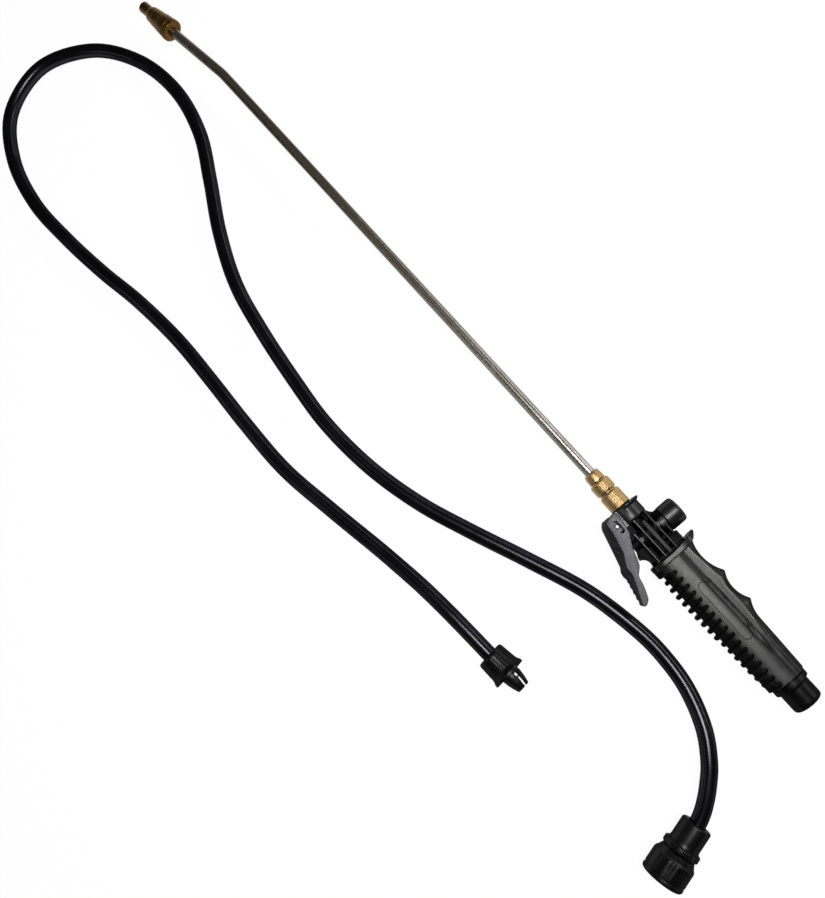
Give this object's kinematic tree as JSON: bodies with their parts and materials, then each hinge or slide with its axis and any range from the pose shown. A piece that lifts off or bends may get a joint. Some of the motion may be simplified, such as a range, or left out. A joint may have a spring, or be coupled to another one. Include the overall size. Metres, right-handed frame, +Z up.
{
  "type": "sprayer lance with hose",
  "caption": "Spray lance with trigger shut-off handle, brass gland, bent steel tube and screw nozzle, beside its loose pressure hose with an end fitting at each end.",
  "frame": {"origin": "On the floor plane under the middle of the lance: centre of the lance and handle in X and Y, bottom in Z. The loose hose is not counted.", "axes": "+X runs along the lance from the inlet stub to the nozzle, +Y is the lever side of the handle, +Z is up from the floor that the handle and the hose lie on."},
  "size_m": [0.8549, 0.2329, 0.032],
  "materials": {
    "black_plastic": "semi-gloss moulded, glass-filled",
    "grey_plastic": "matte charcoal, fine moulded texture",
    "lever_plastic": "matte charcoal moulded",
    "black_rubber": "smooth",
    "steel_mesh": "fine punched mesh",
    "steel": "rolled",
    "white_plastic": "smooth acetal",
    "brass": "turned, knurled",
    "spring_steel": "drawn wire",
    "stainless": "polished tube",
    "bronzed_brass": "darkened turned brass",
    "hose_pvc": "glossy black extruded",
    "fitting_plastic": "semi-gloss moulded"
  },
  "bodies": {
    "handle": {"valve_body": "black_plastic", "grip": "grey_plastic", "inlet_spigot": "black_plastic", "inlet_gasket": "black_rubber", "inlet_strainer": "steel_mesh", "outlet_connector": "brass", "valve_seat": "brass", "stem_bush": "white_plastic", "stem_oring": "black_rubber", "valve_spring": "spring_steel", "hose": "hose_pvc", "hose_collet": "fitting_plastic", "hose_gasket": "black_rubber", "coupling_sleeve": "fitting_plastic", "coupling_ring": "fitting_plastic", "coupling_tail": "fitting_plastic", "union_washer": "black_rubber"},
    "lever_pivot": {"lever_pin": "steel"},
    "lever": {"lever": "lever_plastic"},
    "plunger": {"plunger": "white_plastic", "seal_disc": "black_rubber"},
    "side_cap": {"valve_cap": "black_plastic", "cap_oring": "black_rubber"},
    "gland": {"gland_nut": "brass"},
    "lance": {"lance_ferrule": "brass", "lance_oring": "black_rubber", "lance_tube": "stainless", "nozzle_body": "bronzed_brass", "nozzle_oring": "black_rubber"},
    "swirl": {"swirl_core": "brass"},
    "nozzle": {"nozzle_cap": "bronzed_brass"},
    "small_nut": {"hose_nut": "fitting_plastic"},
    "large_nut": {"union_nut": "fitting_plastic"}
  },
  "joints": [
    {"name": "lever_press", "type": "hinge", "parent": "handle", "child": "lever_pivot", "pos_m": [-0.21327, 0.0083, 0.016], "axis": [0, 0, 1], "range_deg": [0, 12], "stiffness_Nm_per_rad": 1, "springref_deg": -11.46},
    {"name": "lever_lock", "type": "slide", "parent": "lever_pivot", "child": "lever", "axis": [1, 0, 0], "range_m": [0, 0.004]},
    {"name": "plunger_slide", "type": "slide", "parent": "handle", "child": "plunger", "axis": [0, -1, 0], "range_m": [0, 0.00377], "deforming": ["valve_spring"]},
    {"name": "side_cap_turn", "type": "hinge", "parent": "handle", "child": "side_cap", "pos_m": [-0.23127, -0.0236, 0.016], "axis": [0, -1, 0], "continuous": true},
    {"name": "gland_turn", "type": "hinge", "parent": "handle", "child": "gland", "pos_m": [-0.18977, -0.0036, 0.016], "axis": [1, 0, 0], "continuous": true},
    {"name": "lance_turn", "type": "hinge", "parent": "handle", "child": "lance", "pos_m": [-0.20457, -0.0036, 0.016], "axis": [1, 0, 0], "continuous": true},
    {"name": "swirl_slide", "type": "slide", "parent": "lance", "child": "swirl", "axis": [0.9942, 0.108, 0], "range_m": [0, 0.003]},
    {"name": "nozzle_turn", "type": "hinge", "parent": "swirl", "child": "nozzle", "pos_m": [0.3573, 0.00436, 0.016], "axis": [0.9942, 0.108, 0], "range_deg": [0, 720]},
    {"name": "small_nut_turn", "type": "hinge", "parent": "handle", "child": "small_nut", "pos_m": [-0.232, 0.1395, 0.0135], "axis": [-0.9936, -0.1132, 0], "continuous": true},
    {"name": "large_nut_turn", "type": "hinge", "parent": "handle", "child": "large_nut", "pos_m": [-0.40758, 0.13322, 0.0157], "axis": [-0.2588, 0.9659, 0], "continuous": true}
  ],
  "couplings": [
    {"joint": "plunger_slide", "follows": "lever_press", "m_per_rad": 0.017937},
    {"joint": "nozzle_turn", "follows": "swirl_slide", "rad_per_m": 4188.8}
  ]
}
